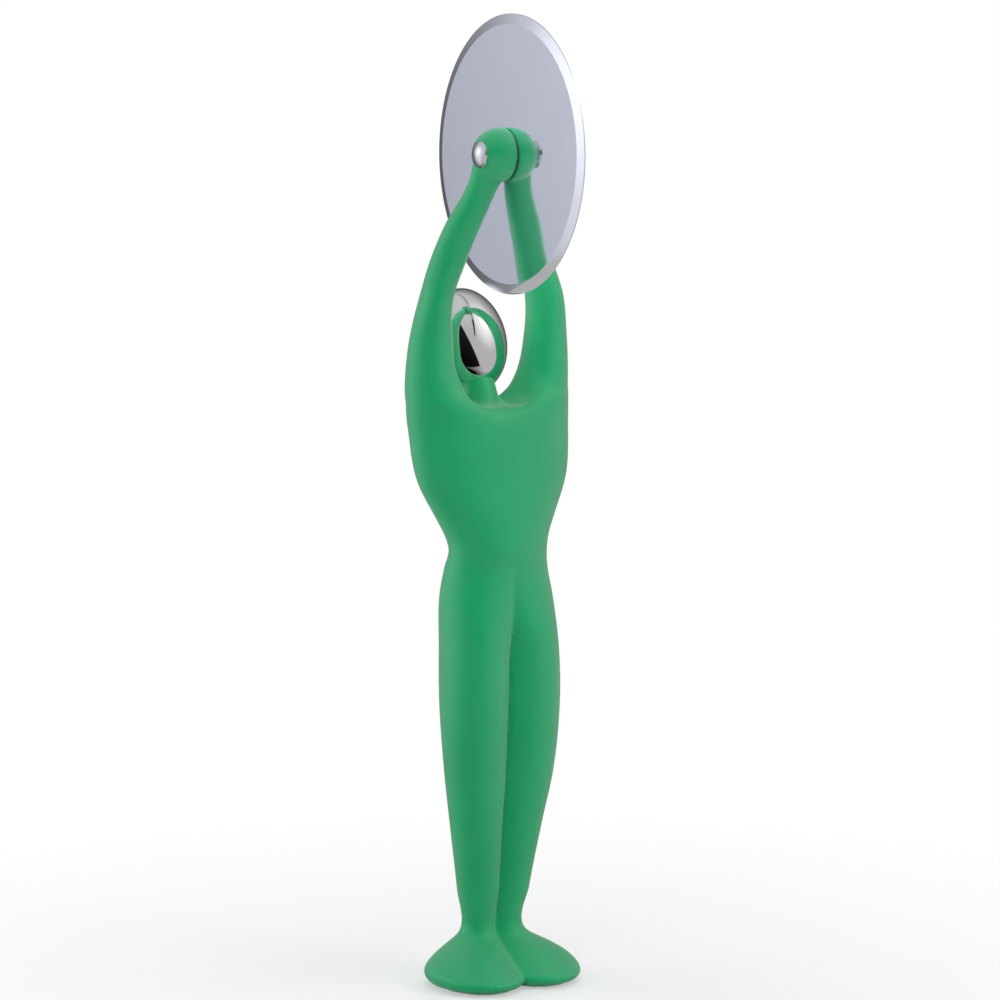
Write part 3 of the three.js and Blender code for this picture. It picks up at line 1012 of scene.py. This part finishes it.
# %% [markdown]
# ## Even light
# The cloth sends nearly the same light from every side but the slit's. So the world is even, with the
# same dark slit, and white where the camera looks past the object. Five wide lamps bring the level up to
# where a colour renders about as it is written. They light the pieces without showing in the gloss, as
# the tent does that.

# %% Even light
AMBIENT = 0.25
SLIT_LIGHT = 0.02
LAMP_AIM = Vector((0, 0.008, 0.13))
LAMP_DISTANCE = 1.0
LAMP_SIZE = 0.8
# azimuth from the camera to the right, elevation, power in watts
LAMPS = {
    "front_lamp": (-12, 8, 4.4),
    "left_lamp": (-100, 15, 4.2),
    "right_lamp": (75, 25, 4.0),
    "back_lamp": (170, 20, 4.0),
    "top_lamp": (0, 85, 3.0),
}


def even_world():
    """The same light from all sides but the slit's, and white for the camera."""
    world = bpy.data.worlds.new("pale_room")
    world.use_nodes = True
    background = world.node_tree.nodes["Background"]
    spot = node(world, "TexCoord").outputs["Generated"]
    even = combined(world, "MULTIPLY", cloth_share(world, spot, SLIT_LIGHT), AMBIENT)
    level = combined(world, "MAXIMUM", even, seen_ray(world))
    world.node_tree.links.new(level, background.inputs["Strength"])
    background.inputs["Color"].default_value = (1, 1, 1, 1)
    world.cycles_visibility.glossy = False
    bpy.context.scene.world = world


def soft_lamp(name, turn, rise, power):
    """A wide lamp that shines on the middle of the object and doesn't show in mirrors."""
    data = bpy.data.lights.new(name, "AREA")
    data.size = LAMP_SIZE
    data.energy = power
    lamp = bpy.data.objects.new(name, data)
    towards_lamp = direction(CAMERA_AZIMUTH + turn, rise)
    lamp.location = LAMP_AIM + towards_lamp * LAMP_DISTANCE
    lamp.rotation_euler = towards_lamp.to_track_quat("Z", "Y").to_euler()
    data.cycles.use_multiple_importance_sampling = False
    lamp.visible_glossy = False
    lamp.visible_camera = False
    bpy.context.scene.collection.objects.link(lamp)


even_world()
for name, (turn, rise, power) in LAMPS.items():
    soft_lamp(name, turn, rise, power)
bpy.context.scene.view_settings.view_transform = "Standard"
print("even light of", AMBIENT, "and", len(LAMPS), "soft lamps")

# %% [markdown]
# ## Sizes
# The box of the dressed object and the box of its CAD model are printed side by side. The dressed
# object has to fill the same box as its CAD model.

# %% Sizes
low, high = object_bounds()
boxes = {"cad": [list(cad_low), list(cad_high)], "visual": [list(low), list(high)]}
for name, (corner, opposite) in boxes.items():
    print(name, "box in mm:", [round((end - start) / MM, 2) for start, end in zip(corner, opposite)])
